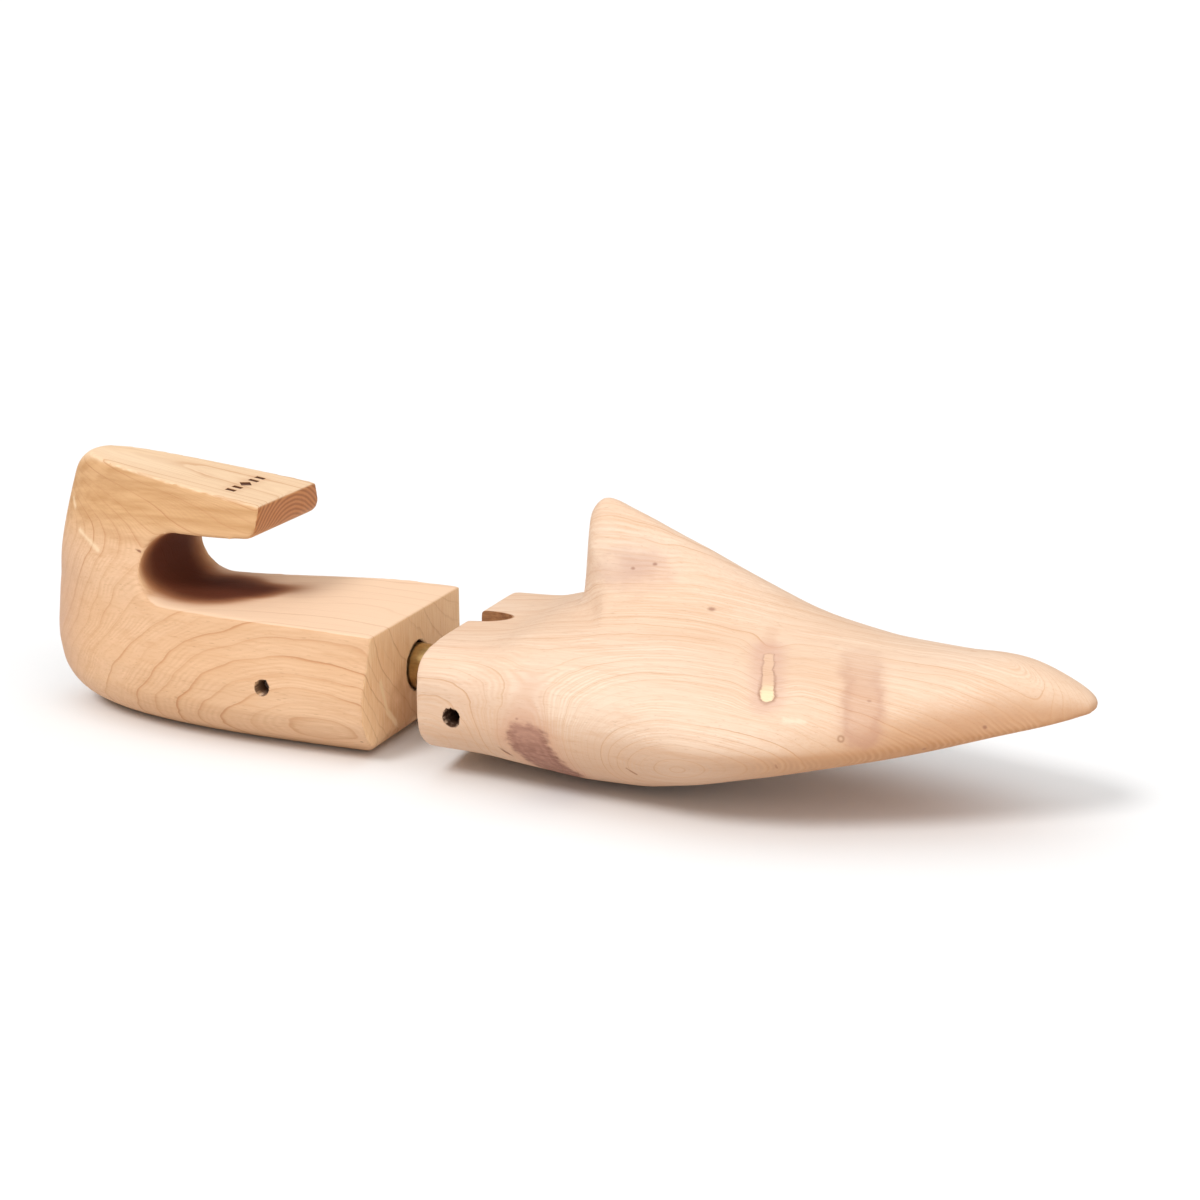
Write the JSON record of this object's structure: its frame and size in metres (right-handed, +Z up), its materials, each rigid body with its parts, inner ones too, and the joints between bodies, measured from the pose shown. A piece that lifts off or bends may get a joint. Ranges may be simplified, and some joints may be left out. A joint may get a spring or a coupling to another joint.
{
  "type": "shoe tree",
  "caption": "Cedar shoe tree for a right shoe: heel block with finger hook, hinged forepart and a sprung telescoping tube between them.",
  "frame": {"origin": "on the surface it stands on, under the centre of the whole object's bounding box at rest", "axes": "+X from heel to toe, +Y to the medial (big toe) side, +Z up"},
  "size_m": [0.2858, 0.0734, 0.0698],
  "materials": {
    "cedar_heel": "satin",
    "cedar_fore": "satin",
    "brass": "satin",
    "steel": "satin"
  },
  "bodies": {
    "forepart": {"forepart": "cedar_fore", "hinge_pin": "steel"},
    "tube": {"inner_tube": "brass", "eye_plug": "steel", "spring": "steel"},
    "heel": {"heel_block": "cedar_heel", "outer_tube": "brass", "heel_cross_pin": "steel"}
  },
  "joints": [
    {"name": "forepart_hinge", "type": "hinge", "parent": "forepart", "child": "tube", "pos_m": [-0.0085, 0.0083, 0.0186], "axis": [0, 1, 0], "range_deg": [0, 25]},
    {"name": "heel_slide", "type": "slide", "parent": "tube", "child": "heel", "axis": [1, 0, 0], "range_m": [0, 0.009], "stiffness_N_per_m": 1500, "springref_m": -0.006, "deforming": ["spring"]}
  ]
}
